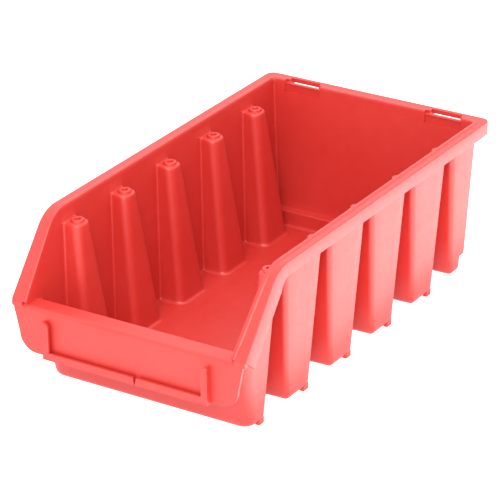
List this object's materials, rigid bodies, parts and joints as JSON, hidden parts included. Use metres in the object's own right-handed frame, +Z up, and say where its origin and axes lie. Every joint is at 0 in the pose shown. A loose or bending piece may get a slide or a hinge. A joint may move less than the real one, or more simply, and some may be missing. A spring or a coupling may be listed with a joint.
{
  "type": "stackable storage bin",
  "caption": "Long open-front storage bin with ribbed side walls, a turned-down rim that dips to the front, a label holder and hanging slots in the rear rim.",
  "frame": {"origin": "middle of the footprint, on the surface that the feet stand on", "axes": "+Z up; +Y from the open front to the rear wall; +X to the right seen from the open front"},
  "size_m": [0.1186, 0.212, 0.0741],
  "materials": {
    "red_plastic": "satin moulded polypropylene"
  },
  "bodies": {
    "root": {"floor_panel": "red_plastic", "front_shelf": "red_plastic", "front_wall": "red_plastic", "label_plate": "red_plastic", "left_dip_rim": "red_plastic", "left_foot_1": "red_plastic", "left_foot_2": "red_plastic", "left_foot_3": "red_plastic", "left_foot_4": "red_plastic", "left_foot_5": "red_plastic", "left_front_corner": "red_plastic", "left_label_guide": "red_plastic", "left_label_sill": "red_plastic", "left_panel_1": "red_plastic", "left_panel_2": "red_plastic", "left_panel_3": "red_plastic", "left_panel_4": "red_plastic", "left_panel_5": "red_plastic", "left_panel_6": "red_plastic", "left_rear_corner": "red_plastic", "left_rib_1": "red_plastic", "left_rib_2": "red_plastic", "left_rib_3": "red_plastic", "left_rib_4": "red_plastic", "left_rib_5": "red_plastic", "left_rim": "red_plastic", "left_rim_corner": "red_plastic", "rear_foot_wall": "red_plastic", "rear_rim": "red_plastic", "rear_step": "red_plastic", "rear_wall": "red_plastic", "right_dip_rim": "red_plastic", "right_foot_1": "red_plastic", "right_foot_2": "red_plastic", "right_foot_3": "red_plastic", "right_foot_4": "red_plastic", "right_foot_5": "red_plastic", "right_front_corner": "red_plastic", "right_label_guide": "red_plastic", "right_label_sill": "red_plastic", "right_panel_1": "red_plastic", "right_panel_2": "red_plastic", "right_panel_3": "red_plastic", "right_panel_4": "red_plastic", "right_panel_5": "red_plastic", "right_panel_6": "red_plastic", "right_rear_corner": "red_plastic", "right_rib_1": "red_plastic", "right_rib_2": "red_plastic", "right_rib_3": "red_plastic", "right_rib_4": "red_plastic", "right_rib_5": "red_plastic", "right_rim": "red_plastic", "right_rim_corner": "red_plastic"}
  },
  "joints": []
}
